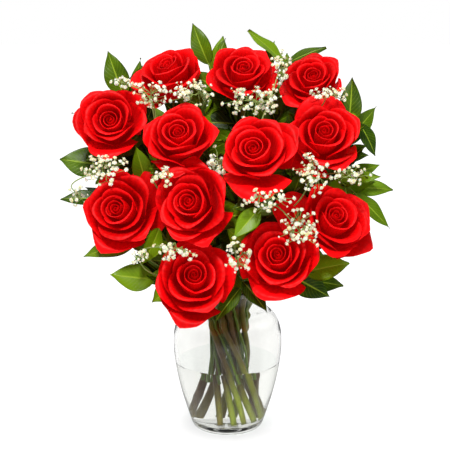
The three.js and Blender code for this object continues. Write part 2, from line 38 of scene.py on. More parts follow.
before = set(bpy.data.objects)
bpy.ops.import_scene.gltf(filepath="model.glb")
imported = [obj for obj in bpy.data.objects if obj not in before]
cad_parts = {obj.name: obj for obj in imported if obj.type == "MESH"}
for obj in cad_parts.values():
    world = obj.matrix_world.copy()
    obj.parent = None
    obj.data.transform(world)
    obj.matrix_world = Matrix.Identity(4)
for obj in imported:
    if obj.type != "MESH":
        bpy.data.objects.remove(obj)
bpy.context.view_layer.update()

# -------------------- what stands in the vase
# Millimetres and degrees, as in the CAD source. at is the middle of the bloom's face and face is
# [turn to the right from the front, lift above the horizon]. spin turns the petals about the
# bloom's axis. Each of wide is a way (0 right, 90 up, as seen from the front) in which an outer
# petal stands away from the rest, and how far it leans out.
ROSES = [
    dict(at=[-74, 4, 427], face=[-34, 54], radius=41, spin=20, wide=[[200, 0.2]]),
    dict(at=[15, -6, 427], face=[-2, 48], radius=37, spin=100, wide=[[270, 0.25]]),
    dict(at=[92, 4, 416], face=[-12, 44], radius=35, spin=240, wide=[[240, 0.2]]),
    dict(at=[-130, -42, 373], face=[-6, 30], radius=39, spin=310, wide=[[265, 0.15]]),
    dict(at=[-54, -84, 367], face=[-8, 44], radius=40, spin=60, wide=[[265, 0.15]]),
    dict(at=[28, -104, 352], face=[-8, 38], radius=42, spin=170, wide=[[195, 0.4], [270, 0.35]]),
    dict(at=[105, -62, 360], face=[2, 36], radius=43, spin=350, wide=[[80, 0.4]]),
    dict(at=[-120, -82, 279], face=[-10, 24], radius=44, spin=140, wide=[[35, 0.4]]),
    dict(at=[-43, -122, 290], face=[-14, 18], radius=44, spin=215, wide=[[22, 0.5]]),
    dict(at=[124, -80, 269], face=[24, 32], radius=43, spin=80, wide=[[157, 0.62]]),
    dict(at=[-36, -114, 211], face=[2, 30], radius=44, spin=30, wide=[[30, 0.2]]),
    dict(at=[51, -110, 232], face=[-10, 28], radius=42, spin=280, wide=[[265, 0.12]]),
]
BLOOM_HEIGHT = 1.2  # of the bloom's radius
HIP_LENGTH = 9
STEM_RADIUS = 3.2
THORNS = 5  # on each stem
BUDS = 5

# A twig's leaves lie in turn to either side of it, and its last leaf's point is at tip.
SPRIGS = [
    [
        dict(tip=[-138, 30, 435], aim=[-0.36, 0, 0.93], roll=70, leaves=3, leaf=56, width=0.44),
        dict(tip=[-102, 45, 427], aim=[0.1, 0.1, 1], roll=45, leaves=2, leaf=40, width=0.4),
        dict(tip=[-174, 10, 372], aim=[-0.85, 0, 0.5], roll=-50, leaves=2, leaf=46, width=0.42),
    ],
    [
        dict(tip=[-43, 48, 464], aim=[-0.42, 0, 0.9], roll=70, leaves=3, leaf=50, width=0.4),
        dict(tip=[-3, 50, 449], aim=[0.35, 0.1, 1], roll=60, leaves=2, leaf=44, width=0.42),
        dict(tip=[-25, -36, 394], aim=[0.1, -0.3, 1], roll=60, leaves=2, leaf=38, width=0.4),
    ],
    [
        dict(tip=[111, 52, 443], aim=[0.87, 0, 0.5], roll=40, leaves=3, leaf=52, width=0.3),
        dict(tip=[26, 50, 460], aim=[-0.69, 0, 0.72], roll=-40, leaves=2, leaf=54, width=0.32),
        dict(tip=[72, 66, 432], aim=[0.1, 0.3, 1], roll=30, leaves=2, leaf=46, width=0.4),
    ],
    [
        dict(tip=[143, 20, 406], aim=[0.1, 0, 1], roll=-40, leaves=3, leaf=56, width=0.4),
        dict(tip=[172, 10, 318], aim=[0.5, 0, -0.8], roll=60, leaves=2, leaf=42, width=0.46),
        dict(tip=[161, 20, 357], aim=[0.7, 0.1, 0.7], roll=40, leaves=2, leaf=42, width=0.4),
    ],
    [
        dict(tip=[190, 6, 282], aim=[1, 0, 0], roll=60, leaves=3, leaf=48, width=0.38),
        dict(tip=[175, 12, 308], aim=[0.9, 0.1, 0.3], roll=60, leaves=2, leaf=42, width=0.36),
        dict(tip=[187, -14, 240], aim=[0.75, -0.1, -0.65], roll=60, leaves=3, leaf=56, width=0.3),
    ],
    [
        dict(tip=[133, -62, 212], aim=[0.95, -0.2, 0.3], roll=60, leaves=3, leaf=50, width=0.54),
        dict(tip=[130, -50, 184], aim=[0.95, -0.1, -0.05], roll=60, leaves=1, leaf=50, width=0.42),
        dict(tip=[74, -98, 280], aim=[0.1, -0.7, 0.6], roll=60, leaves=2, leaf=40, width=0.4),
    ],
    [
        dict(tip=[-14, -99, 157], aim=[-0.6, -0.55, -0.6], roll=-30, leaves=1, leaf=46, width=0.36),
        dict(tip=[45, -97, 167], aim=[0.6, -0.6, -0.5], roll=30, leaves=2, leaf=46, width=0.38),
        dict(tip=[8, -122, 252], aim=[-0.55, -0.5, -0.6], roll=-50, leaves=2, leaf=42, width=0.46),
    ],
    [
        dict(tip=[-129, -66, 199], aim=[-0.95, -0.25, 0.2], roll=-75, leaves=3, leaf=50, width=0.54),
        dict(tip=[-160, -58, 219], aim=[-0.95, -0.2, -0.2], roll=-60, leaves=3, leaf=62, width=0.34),
        dict(tip=[-87, -98, 216], aim=[-0.25, -0.6, -0.7], roll=-70, leaves=1, leaf=46, width=0.46),
    ],
    [
        dict(tip=[-194, 28, 314], aim=[-0.95, 0, 0.2], roll=-60, leaves=3, leaf=54, width=0.62),
        dict(tip=[-193, 20, 270], aim=[-0.95, -0.1, 0.1], roll=-50, leaves=3, leaf=48, width=0.38),
        dict(tip=[-100, -44, 334], aim=[-0.2, -0.4, 0.9], roll=40, leaves=2, leaf=42, width=0.46),
    ],
    [
        dict(tip=[-96, 112, 372], aim=[-0.45, 0.6, 0.65], roll=-10, leaves=3, leaf=56, width=0.44),
        dict(tip=[-150, 66, 318], aim=[-0.8, 0.5, 0.3], roll=-30, leaves=3, leaf=54, width=0.44),
        dict(tip=[-104, 98, 240], aim=[-0.7, 0.7, -0.1], roll=-20, leaves=2, leaf=52, width=0.46),
    ],
    [
        dict(tip=[94, 114, 366], aim=[0.45, 0.6, 0.65], roll=10, leaves=3, leaf=56, width=0.44),
        dict(tip=[150, 68, 304], aim=[0.8, 0.5, 0.2], roll=30, leaves=3, leaf=54, width=0.44),
        dict(tip=[100, 100, 232], aim=[0.7, 0.7, -0.1], roll=20, leaves=2, leaf=52, width=0.46),
    ],
    [
        dict(tip=[-6, 132, 330], aim=[0, 0.8, 0.5], roll=0, leaves=3, leaf=56, width=0.44),
        dict(tip=[6, 128, 232], aim=[0, 1, -0.1], roll=0, leaves=3, leaf=54, width=0.46),
        dict(tip=[2, 84, 410], aim=[0, 0.4, 0.9], roll=0, leaves=2, leaf=50, width=0.42),
    ],
]
TWIG_RADIUS = 1.6
LEAF_SPACING = 15
LEAF_SPLAY = 42
LEAF_TURN = 20
LEAF_DROOP = 0.14  # of the leaf's length, at the tip
LEAF_GRID = (22, 13)

# Small blades fill the bunch below the leaves that the CAD has too. They start above LOWEST_LEAF,
# and keep behind FACE_DEPTH and inside the egg of radii FILL_REACH round FILL_MIDDLE.
LOWEST_LEAF = 178
FACE_DEPTH = -100
FILL_MIDDLE = [0, 0, 300]
FILL_REACH = [172, 125, 150]
SMALL_GRID = (14, 9)
STEM_LEAVES = (16, 140, 8)  # down a rose's stem from its bloom: the first, the end and the step
LEAF_TRIES = 6
LIGHT = np.array([0, -0.5, 1])  # the way that leaves turn their upper sides
NEAR_UP = [0.02, 0.1, 1]  # so that no twig lies right along it

# The heads of blossoms of each spray: their middles and their radii along x, y and z.
SPRAYS = [
    [([-84, -34, 392], [20, 12, 14]), ([-38, -46, 394], [26, 12, 14]),
     ([-118, -22, 404], [12, 10, 8])],
    [([30, -54, 388], [32, 14, 18]), ([58, 0, 418], [12, 12, 18]),
     ([-11, -84, 330], [12, 10, 20])],
    [([109, -30, 390], [20, 10, 10]), ([130, -76, 311], [20, 10, 10]),
     ([88, -96, 314], [18, 10, 20])],
    [([42, -118, 292], [26, 8, 12]), ([76, -106, 256], [20, 8, 22]),
     ([11, -120, 230], [12, 8, 22])],
    [([-132, -60, 310], [26, 12, 18]), ([-163, -48, 282], [12, 10, 10]),
     ([-66, -106, 312], [12, 8, 12])],
    [([-97, -104, 228], [10, 8, 8]), ([-53, -118, 240], [22, 8, 12])],
    [([-44, 74, 384], [28, 24, 18]), ([48, 78, 376], [28, 24, 18]),
     ([0, 112, 296], [30, 16, 20])],
]
SPRAY_RADIUS = 1.1
FORK_RADIUS = 0.42
STALK_RADIUS = 0.27
BLOSSOM_DENSITY = 0.14  # for each square millimetre of a head's face
BLOSSOM_TRIES = 12
OPEN_SHARE = 0.75
OPEN_BLOSSOM = (1.9, 2.8)
BUD = (1.0, 1.6)

LINE_STEP = 4  # between the points of a stem's line
LEAST_SPACING = 12  # between the points that the line is drawn through
RING_REACH = 2.15  # how far from a corner the others of its ring lie, in the rod's radii


# -------------------- vectors and lines
def unit(v):
    """The vector of length 1 along v."""
    return v / np.linalg.norm(v)


def turned(v, axis, degrees):
    """v turned about the unit vector axis."""
    c, s = math.cos(math.radians(degrees)), math.sin(math.radians(degrees))
    return v * c + np.cross(axis, v) * s + axis * (axis @ v) * (1 - c)


def ease(x, low=0.0, high=1.0):
    """0 below low and 1 above high, with a smooth step between."""
    x = np.clip((x - low) / (high - low), 0, 1)
    return x * x * (3 - 2 * x)


def along(points, t):
    """Points at shares t of a smooth line through evenly spaced points."""
    p = np.asarray(points, float)
    p = np.vstack([2 * p[0] - p[1], p, 2 * p[-1] - p[-2]])
    x = np.clip(np.asarray(t, float), 0, 1) * (len(p) - 3)
    i = np.minimum(x.astype(int), len(p) - 4)
    f = (x - i)[..., None]
    a, b, c, d = (p[i + k] for k in range(4))
    return 0.5 * (2 * b + (c - a) * f + (2 * a - 5 * b + 4 * c - d) * f**2
                  + (3 * b - a - 3 * c + d) * f**3)


def even(line):
    """A smooth line through uneven points, cut into even steps of about LINE_STEP."""
    smooth = along(line, np.linspace(0, 1, 20 * len(line)))
    run = np.concatenate([[0], np.cumsum(np.linalg.norm(np.diff(smooth, axis=0), axis=1))])
    at = np.linspace(0, run[-1], max(3, int(run[-1] / LINE_STEP) + 1))
    return np.stack([np.interp(at, run, smooth[:, k]) for k in range(3)], axis=1)


def any_side(way):
    """A vector that doesn't lie along way, to start a frame from."""
    return UP if abs(way[2]) < 0.9 else np.array([1.0, 0.0, 0.0])


def frames(line):
    """Two unit vectors across a line at each of its points, that don't twist along it."""
    way = np.gradient(line, axis=0)
    way /= np.linalg.norm(way, axis=1)[:, None]
    side = np.cross(way[0], any_side(way[0]))
    sides = []
    for w in way:
        side = unit(side - w * (side @ w))
        sides.append(side)
    sides = np.array(sides)
    return sides, np.cross(way, sides)


def axes_along(way):
    """A frame as rows, with way as its last axis."""
    side = unit(np.cross(way, any_side(way)))
    return np.array([side, np.cross(way, side), way])


# -------------------- shapes
# A shape is (points, faces, mark, uv). Its mark is the number of its material among its object's,
# or a list with one for each face.
def grid_faces(rows, columns, closed=False):
    """Quads of a grid of points, row by row. A closed grid joins its last column to its first."""
    r, c = np.meshgrid(np.arange(rows - 1), np.arange(columns - (not closed)), indexing="ij")
    n = (c + 1) % columns
    return np.stack([r * columns + c, r * columns + n, (r + 1) * columns + n,
                     (r + 1) * columns + c], axis=-1).reshape(-1, 4)


def tube(line, radius, sides, mark=0):
    """A closed tube along a line; radius is one number or one for each point."""
    a, b = frames(line)
    angle = np.linspace(0, 2 * math.pi, sides, endpoint=False)
    radius = np.broadcast_to(radius, len(line))[:, None, None]
    rings = line[:, None] + radius * (a[:, None] * np.cos(angle)[:, None]
                                      + b[:, None] * np.sin(angle)[:, None])
    points = np.vstack([rings.reshape(-1, 3), line[:1], line[-1:]])
    faces = grid_faces(len(line), sides, True).tolist()
    first, last = len(points) - 2, len(points) - 1
    for k in range(sides):
        n = (k + 1) % sides
        faces.append([first, n, k])
        faces.append([last, last - 1 - sides + k, last - 1 - sides + n])
    run = np.linspace(0, 1, len(line))[:, None]
    uv = np.stack([np.broadcast_to(angle / (2 * math.pi), rings.shape[:2]),
                   np.broadcast_to(run, rings.shape[:2])], axis=-1).reshape(-1, 2)
    return points, faces, mark, np.vstack([uv, [[0, 0], [0, 1]]])


def blade_grid(rows, columns):
    """v from 0 to 1 along a blade and u from -1 to 1 across it, for each of its points."""
    return np.meshgrid(np.linspace(0, 1, rows), np.linspace(-1, 1, columns), indexing="ij")


def shell(front, thickness, mark=0, under=0):
    """A closed thin blade from a grid of points of its face, with a thickness at each of them."""
    rows, columns = front.shape[:2]
    normal = np.cross(np.gradient(front, axis=1), np.gradient(front, axis=0))
    normal /= np.maximum(np.linalg.norm(normal, axis=2), 1e-12)[..., None]
    back = front - normal * thickness[..., None]
    count = rows * columns
    faces = grid_faces(rows, columns)
    ring = np.concatenate([
        np.arange(columns), np.arange(2 * columns - 1, count, columns),
        np.arange(count - 2, count - columns - 1, -1),
        np.arange(count - 2 * columns, 0, -columns)])
    after = np.roll(ring, -1)
    rim = np.stack([after, ring, ring + count, after + count], axis=1)
    v, u = np.meshgrid(np.linspace(0, 1, rows), np.linspace(0, 1, columns), indexing="ij")
    uv = np.stack([u, v], axis=-1).reshape(-1, 2)
    points = np.vstack([front.reshape(-1, 3), back.reshape(-1, 3)])
    # The blade's face is to the left of its rows, so its quads turn the other way.
    marks = [mark] * len(faces) + [under] * len(faces) + [mark] * len(rim)
    quads = np.vstack([faces[:, ::-1], faces + count, rim]).tolist()
    return points, quads, marks, np.vstack([uv, uv])


def placed(shape, axes, origin):
    """A shape turned into axes (as rows) and moved to origin."""
    points, *rest = shape
    return (points @ axes + origin, *rest)


def joined_shape(shapes):
    """Several shapes as one."""
    points, faces, marks, uvs, start = [], [], [], [], 0
    for p, f, mark, uv in shapes:
        points.append(p)
        faces += [[start + i for i in face] for face in f]
        marks += mark if isinstance(mark, list) else [mark] * len(f)
        uvs.append(uv)
        start += len(p)
    return np.vstack(points), faces, marks, np.vstack(uvs)


def made(name, shapes, materials, nodes):
    """One object from shapes in millimetres, that stands for CAD nodes."""
    points, faces, marks, uv = joined_shape(shapes)
    mesh = bpy.data.meshes.new(name)
    mesh.from_pydata(points * MM, [], faces)
    mesh.polygons.foreach_set("material_index", marks)
    mesh.polygons.foreach_set("use_smooth", [True] * len(faces))
    corner = np.empty(len(mesh.loops), int)
    mesh.loops.foreach_get("vertex_index", corner)
    mesh.uv_layers.new(name="UVMap").data.foreach_set("uv", uv[corner].ravel())
    mesh.update()
    for each in materials:
        mesh.materials.append(each)
    obj = bpy.data.objects.new(name, mesh)
    bpy.context.scene.collection.objects.link(obj)
    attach(obj, "root")
    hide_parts(*nodes)


# -------------------- the CAD solids' lines
def welded(name):
    """The corners of a CAD node in millimetres and the corners that each is joined to."""
    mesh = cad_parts[name].data
    raw = np.array([v.co for v in mesh.vertices]) / MM
    _, first, same = np.unique(np.round(raw, 2), axis=0, return_index=True, return_inverse=True)
    same = same.ravel()
    joined = [set() for _ in first]
    for edge in mesh.edges:
        a, b = (int(same[v]) for v in edge.vertices)
        if a != b:
            joined[a].add(b)
            joined[b].add(a)
    return raw[first], joined


def routes_to_foot(points, joined):
    """For each corner, the next one on the shortest way down to the foot of the stem."""
    foot = int(np.argmin(points[:, 2]))
    best, after = {foot: 0.0}, {foot: None}
    queue = [(0.0, foot)]
    while queue:
        far, a = heapq.heappop(queue)
        if far > best[a]:
            continue
        for b in joined[a]:
            through = far + float(np.linalg.norm(points[b] - points[a]))
            if through < best.get(b, math.inf):
                best[b], after[b] = through, a
                heapq.heappush(queue, (through, b))
    return after


def centre_line(points, after, start, radius, taken=()):
    """The middle of a rod from start down to its foot, or to where it meets a line in taken.

    The corners near a corner are those of its ring, so that their mean is on the rod's axis.
    """
    at = int(np.argmin(np.linalg.norm(points - start, axis=1)))
    line = [np.asarray(start, float)]
    while at is not None:
        near = points[np.linalg.norm(points - points[at], axis=1) < RING_REACH * radius]
        middle = near.mean(axis=0)
        at = after[at]
        for other in taken:
            k = int(np.argmin(np.linalg.norm(other - middle, axis=1)))
            if np.linalg.norm(other[k] - middle) < 2 * radius:
                line.append(other[min(k + 3, len(other) - 1)])
                return even(spaced(line))
        line.append(middle)
    return even(spaced(line))


def spaced(line):
    """The line without points that crowd the ones before them, and a little smoother."""
    kept = [line[0]]
    for p in line[1:-1]:
        if min(np.linalg.norm(p - kept[-1]), np.linalg.norm(p - line[-1])) > LEAST_SPACING:
            kept.append(p)
    kept = np.array([*kept, line[-1]])
    if len(kept) > 2:
        kept[1:-1] = 0.2 * kept[:-2] + 0.6 * kept[1:-1] + 0.2 * kept[2:]
    return kept


# -------------------- petals
# A petal's middle from its foot to its tip as (out, up) in bloom radii, from the heart of the
# bloom (share 0) to its outermost petals (share 1).
PROFILES = {
    0.0: [(0.02, 0.30), (0.03, 0.50), (0.035, 0.70), (0.035, 0.84),
          (0.03, 0.92), (0.02, 0.95), (0.02, 0.96)],
    0.12: [(0.03, 0.22), (0.09, 0.42), (0.115, 0.62), (0.12, 0.82),
           (0.11, 0.94), (0.11, 0.98), (0.12, 0.99)],
    0.27: [(0.05, 0.14), (0.17, 0.32), (0.235, 0.56), (0.25, 0.80),
           (0.24, 0.95), (0.245, 1.01), (0.27, 1.02)],
    0.36: [(0.06, 0.11), (0.23, 0.28), (0.32, 0.52), (0.35, 0.78),
           (0.35, 0.97), (0.37, 1.06), (0.42, 1.07)],
    0.55: [(0.07, 0.08), (0.30, 0.21), (0.43, 0.43), (0.50, 0.68),
           (0.54, 0.88), (0.60, 0.99), (0.69, 1.01)],
    0.75: [(0.09, 0.04), (0.36, 0.14), (0.55, 0.34), (0.66, 0.57),
           (0.73, 0.76), (0.82, 0.88), (0.93, 0.87)],
    0.9: [(0.11, 0.02), (0.40, 0.10), (0.62, 0.26), (0.76, 0.47),
          (0.85, 0.64), (0.95, 0.73), (1.06, 0.69)],
    1.0: [(0.12, 0.0), (0.42, 0.07), (0.66, 0.20), (0.82, 0.38),
          (0.93, 0.52), (1.03, 0.58), (1.14, 0.50)],
}
# Half of a petal's reach round the bloom, in degrees, at these shares.
SPREADS = {0: 165, 0.12: 125, 0.28: 100, 0.36: 88, 0.55: 76, 0.75: 65, 1: 56}
HEART_SHARE = 0.27  # of the last petal that is wrapped tight round the heart
HEART_PETALS = 8
OPEN_PETALS = 13
GOLDEN_TURN = 137.5
TURN_JITTER = 17
LEAN_JITTER = (-0.05, 0.08)
PETAL_GRID = (17, 19)
PETAL_THICKNESS = 0.5


def petal_profile(share):
    """The middle line of the petal at that share, between the lines of PROFILES."""
    shares = list(PROFILES)
    table = np.array([PROFILES[s] for s in shares])
    return np.array([[np.interp(share, shares, table[:, i, k]) for k in range(2)]
                     for i in range(table.shape[1])])


def petal(share, turn, lean, radius):
    """One petal about +Z in millimetres. turn is its way round and lean its tilt outwards."""
    v, u = blade_grid(*PETAL_GRID)
    v = v**0.85
    side = np.abs(u)
    open_ = ease(share, HEART_SHARE, 0.5)
    outer = ease(share, 0.5, 0.95)
    # The margin is cut back to either side of the tip, so that the tip stands out as a point.
    point = (0.02 + 0.1 * open_ + 0.2 * outer) * rng.uniform(0.7, 1.4)
    t = v * (1 - point * side ** (2.0 - 0.5 * open_ - 0.35 * outer))
    out, up = np.moveaxis(along(petal_profile(share), t), -1, 0)
    drop = (0.2 + 0.1 * open_ + 0.08 * outer) * rng.uniform(0.85, 1.2)
    skew = rng.uniform(-0.12, 0.12)
    up = up * (1 - drop * np.abs(u - skew) ** (3.6 - 1.2 * open_))
    # One edge lies inside its neighbour and the other outside.
    out = out * (1 + np.interp(share, [0, HEART_SHARE, 0.36, 1], [0.16, 0.1, 0.07, 0.05]) * u)
    out += 0.05 * outer * ease(side, 0.72, 1) * v
    out = out * (1 - 0.07 * open_ * side**1.3 * ease(v, 0.6, 1))
    out += lean * np.maximum(up, 0) * v
    up -= 0.3 * lean * v * ease(v, 0.4, 1)
    # The tip is pinched, and soft waves and creases run over the blade.
    pinch = np.exp(-((u / 0.14) ** 2)) * ease(v, 0.75, 1) * open_ * rng.uniform(0, 1)
    out += (0.02 + 0.05 * outer) * pinch
    phases = rng.uniform(0, 2 * math.pi, 6)
    size = (0.004 + 0.018 * open_ + 0.022 * outer) * ease(v, 0.25, 1)
    out += size * (np.sin(2.9 * u + phases[0]) + 0.6 * np.sin(6.1 * u + phases[1] + 2 * v))
    up += size * (np.sin(2.3 * u + phases[2]) + 0.5 * np.sin(5.2 * u + phases[3]))
    out += 0.3 * size * np.sin(12 * u + phases[4]) * ease(v, 0.7, 1)
    spread = np.interp(share, list(SPREADS), list(SPREADS.values())) * rng.uniform(0.92, 1.08)
    angle = np.radians(turn + u * spread * (0.62 + 0.38 * ease(v, 0, 0.5)))
    front = np.stack([out * np.cos(angle), out * np.sin(angle), up], axis=-1) * radius
    thinner = 0.64 * np.maximum(ease(v, 0.6, 1), ease(side, 0.7, 1))
    return shell(front[:, ::-1], PETAL_THICKNESS * (1 - thinner) * np.where(v == 1, 0.6, 1))


def bloom_shapes(rose):
    """The petals of a bloom about +Z, in a spiral from its heart, which stands a little aside."""
    wide = np.array([way for way, _ in rose["wide"]])
    shares = [*np.linspace(0, HEART_SHARE, HEART_PETALS), *np.linspace(0.31, 1, OPEN_PETALS)]
    angle = rng.uniform(0, 2 * math.pi)
    heart = np.array([math.cos(angle), math.sin(angle)]) * rng.uniform(0.05, 0.1) * rose["radius"]
    shapes = []
    for k, share in enumerate(shares):
        turn = rose["spin"] + GOLDEN_TURN * k + rng.uniform(-TURN_JITTER, TURN_JITTER)
        lean = rng.uniform(*LEAN_JITTER) * ease(share, 0.25, 0.7)
        off = (wide - turn + 180) % 360 - 180
        nearest = int(np.abs(off).argmin())
        if share > 0.85 and abs(off[nearest]) < 60:
            turn += 0.8 * off[nearest]
            lean += rose["wide"][nearest][1]
        points, *rest = petal(share, turn, lean, rose["radius"])
        # The inner petals lean towards the heart.
        bent = (1 - ease(share, 0.2, 0.75)) * (points[:, 2:] / rose["radius"]) ** 2
        points[:, :2] += bent * heart
        shapes.append((points, *rest))
    return shapes


def bloom_frame(rose):
    """The bloom's foot and its axes: right, up and out of the face, as rows."""
    turn, lift = np.radians(rose["face"])
    flat = math.cos(lift)
    axis = np.array([math.sin(turn) * flat, -math.cos(turn) * flat, math.sin(lift)])
    foot = np.array(rose["at"]) - axis * BLOOM_HEIGHT * rose["radius"]
    right = unit(np.cross(UP, axis))
    return foot, np.array([right, np.cross(axis, right), axis])


BLOOM_FRAMES = [bloom_frame(rose) for rose in ROSES]
# The room that a bloom takes up: its reach from its axis at heights over its foot, in its radii.
BLOOM_ROOM = {0: 0.3, 0.3: 0.8, 0.7: 1.1, 1.0: 1.0, 1.2: 0.8}


def in_a_bloom(places, margin):
    """True if any of the places lies in a bloom or within margin of its side."""
    for rose, (foot, axes) in zip(ROSES, BLOOM_FRAMES):
        x, y, z = axes @ (np.atleast_2d(places) - foot).T / rose["radius"]
        reach = np.interp(z, list(BLOOM_ROOM), list(BLOOM_ROOM.values())) + margin / rose["radius"]
        if np.any((z > 0) & (z < BLOOM_HEIGHT) & (np.hypot(x, y) < reach)):
            return True
    return False


# -------------------- stems
# The hip's outline from the stem up, as (radius, height over the bloom's foot).
HIP_OUTLINE = [(3.4, -HIP_LENGTH - 2), (4.4, -HIP_LENGTH), (5.6, -6), (6.0, -3.4), (5.2, -0.8),
               (5.0, 0.8)]
SEPALS = 5


def hip_shapes():
    """The hip under a bloom and its five sepals, about +Z with the bloom's foot at the origin."""
    radii, heights = along(HIP_OUTLINE, np.linspace(0, 1, 12)).T
    shapes = [tube(heights[:, None] * UP, radii, 16)]
    for k in range(SEPALS):
        length = rng.uniform(24, 32)
        v, u = blade_grid(12, 7)
        half = 3.6 * (1 - v) ** 0.7 * (0.75 + 0.6 * np.sin(math.pi * np.minimum(v * 1.6, 1))) + 0.15
        bend = rng.uniform(0.7, 1.5)
        out = 4.6 + length * (0.62 * v + 0.1 * v**2)
        up = 0.5 + length * (0.30 * v - 0.5 * bend * v**2.2) - 0.1 * half * u**2
        angle = 2 * math.pi * k / SEPALS + rng.uniform(-0.15, 0.15)
        flat = np.stack([out, u * half, up], axis=-1)
        c, s = math.cos(angle), math.sin(angle)
        spun = np.stack([flat[..., 0] * c - flat[..., 1] * s,
                         flat[..., 0] * s + flat[..., 1] * c, flat[..., 2]], axis=-1)
        shapes.append(shell(spun[:, ::-1], np.full(v.shape, 0.5)))
    return shapes


def thorn(place, way, size):
    """A small hooked thorn."""
    line = np.array([place - way * 0.6 * size, place + way * 0.3 * size,
                     place + way * size + np.array([0, 0, -0.35 * size])])
    return tube(along(line, np.linspace(0, 1, 5)), np.array([0.42, 0.3, 0.2, 0.1, 0.02]) * size, 6)


def stalk_shapes(line):
    """A rose's stem with slight swellings at its buds, and thorns."""
    run = np.arange(len(line)) * LINE_STEP
    swell = 1 + 0.07 * np.sin(run / 17 + rng.uniform(0, 6)) * np.sin(run / 41)
    for bud in rng.uniform(30, run[-1], BUDS):
        swell += 0.16 * np.exp(-(((run - bud) / 4) ** 2))
    shapes = [tube(line, STEM_RADIUS * swell, 12)]
    a, b = frames(line)
    for k in rng.integers(6, len(line) - 6, THORNS):
        angle = rng.uniform(0, 2 * math.pi)
        way = a[k] * math.cos(angle) + b[k] * math.sin(angle)
        shapes.append(thorn(line[k] + way * STEM_RADIUS * 0.95, way, rng.uniform(2.2, 3.6)))
    return shapes


# -------------------- foliage
def blade_axes(lie, normal):
    """A blade's axes as rows: along it, across it, and up from its upper side."""
    return np.array([lie, np.cross(normal, lie), normal])


def towards_light(normal):
    """The normal or its opposite, whichever looks towards the light."""
    return -normal if normal @ LIGHT < 0 else normal


def leaf_shape(foot, axes, length, width, grid):
    """A pointed oval blade, folded a little along its midrib and softly waved."""
    v, u = blade_grid(*grid)
    full = 0.5 * width * length * np.sin(math.pi * v**0.8)
    half = full * (1 - 0.25 * ease(v, 0.8, 1)) + 0.75 * (1 - ease(v, 0.02, 0.25)) + 0.12
    y = u * half
    fold, wave = rng.uniform(0.1, 0.3), rng.uniform(0.008, 0.03) * length
    z = -LEAF_DROOP * v**2 * length + fold * np.abs(y) * (1 - 0.5 * np.abs(u))
    z += wave * u**2 * np.sin(v * rng.uniform(7, 12) + rng.uniform(0, 6)) * ease(v, 0, 0.3)
    z += rng.uniform(-0.05, 0.05) * length * u * v**2
    y = y + rng.uniform(-0.05, 0.05) * length * v**2
    front = np.stack([v * length, y, z], axis=-1) @ axes + foot
    thick = (0.5 - 0.3 * ease(np.abs(u), 0.6, 1)) * (1 - 0.85 * ease(v, 0.8, 1))
    return shell(front[:, ::-1], thick, 1, 2)


def twig_leaves(twig, end):
    """The leaves that the CAD's twig has too."""
    way = unit(np.array(twig["aim"], float))
    level = turned(unit(np.cross(way, NEAR_UP)), way, twig["roll"])
    found = []
    for k in range(twig["leaves"]):
        normal = towards_light(unit(np.cross(turned(level, way, LEAF_TURN * k), way)))
        splay = LEAF_SPLAY * (-1 if k % 2 else 1) if k else 0
        axes = blade_axes(turned(way, normal, splay), normal)
        foot = end - way * (1 + k * LEAF_SPACING)
        length = twig["leaf"] * (1 - 0.05 * k)
        found.append(leaf_shape(foot, axes, length, 1.15 * twig["width"], LEAF_GRID))
    return found


def fits(blade):
    """True if a small blade lies within the bunch, behind its face, and in none of the blooms."""
    points = blade[0]
    far = np.linalg.norm((points - FILL_MIDDLE) / FILL_REACH, axis=1).max()
    return far < 1 and points[:, 1].min() > FACE_DEPTH and not in_a_bloom(points, 0)


def lower_leaves(twig, line):
    """Small blades down the rest of a twig, below its own leaves. Four are tried at each place."""
    found = []
    way = -np.gradient(line, axis=0)
    first = twig["leaves"] * LEAF_SPACING + 6
    level = None
    for run in np.arange(first, (len(line) - 1.5) * LINE_STEP, 0.7 * LEAF_SPACING):
        i = int(run / LINE_STEP)
        if line[i][2] < LOWEST_LEAF:
            break
        axis = unit(way[i])
        if level is None:
            level = unit(np.cross(axis, NEAR_UP))
        for side in (1, -1, 1, -1):
            level = unit(turned(level - axis * (level @ axis), axis, rng.uniform(30, 70)))
            normal = towards_light(unit(np.cross(level, axis)))
            axes = blade_axes(turned(axis, normal, rng.uniform(45, 75) * side), normal)
            length = twig["leaf"] * rng.uniform(0.75, 1.0)
            blade = leaf_shape(line[i], axes, length, rng.uniform(0.45, 0.6), SMALL_GRID)
            if fits(blade):
                found.append(blade)
    return found


def stem_leaves(line):
    """Small blades round a rose's stem below its bloom."""
    found = []
    way = -np.gradient(line, axis=0)
    for run in np.arange(*STEM_LEAVES):
        i = int(run / LINE_STEP)
        if i >= len(line) or line[i][2] < LOWEST_LEAF:
            break
        axis = unit(way[i])
        for _ in range(LEAF_TRIES):
            out = turned(unit(np.cross(axis, NEAR_UP)), axis, rng.uniform(0, 360))
            lie = unit(out + rng.uniform(0.1, 1.1) * axis)
            normal = unit(np.cross(lie, np.cross([0.1, -1, 0.4], lie)))
            length = rng.uniform(40, 60)
            axes = blade_axes(lie, normal)
            blade = leaf_shape(line[i], axes, length, rng.uniform(0.5, 0.65), SMALL_GRID)
            if fits(blade):
                found.append(blade)
                break
    return found


# -------------------- baby's breath
# The rings of petals of one blossom: how many, how far up they stand, and their length.
BLOSSOM_RINGS = [(6, 14, 1.0), (5, 38, 0.85), (4, 62, 0.7)]


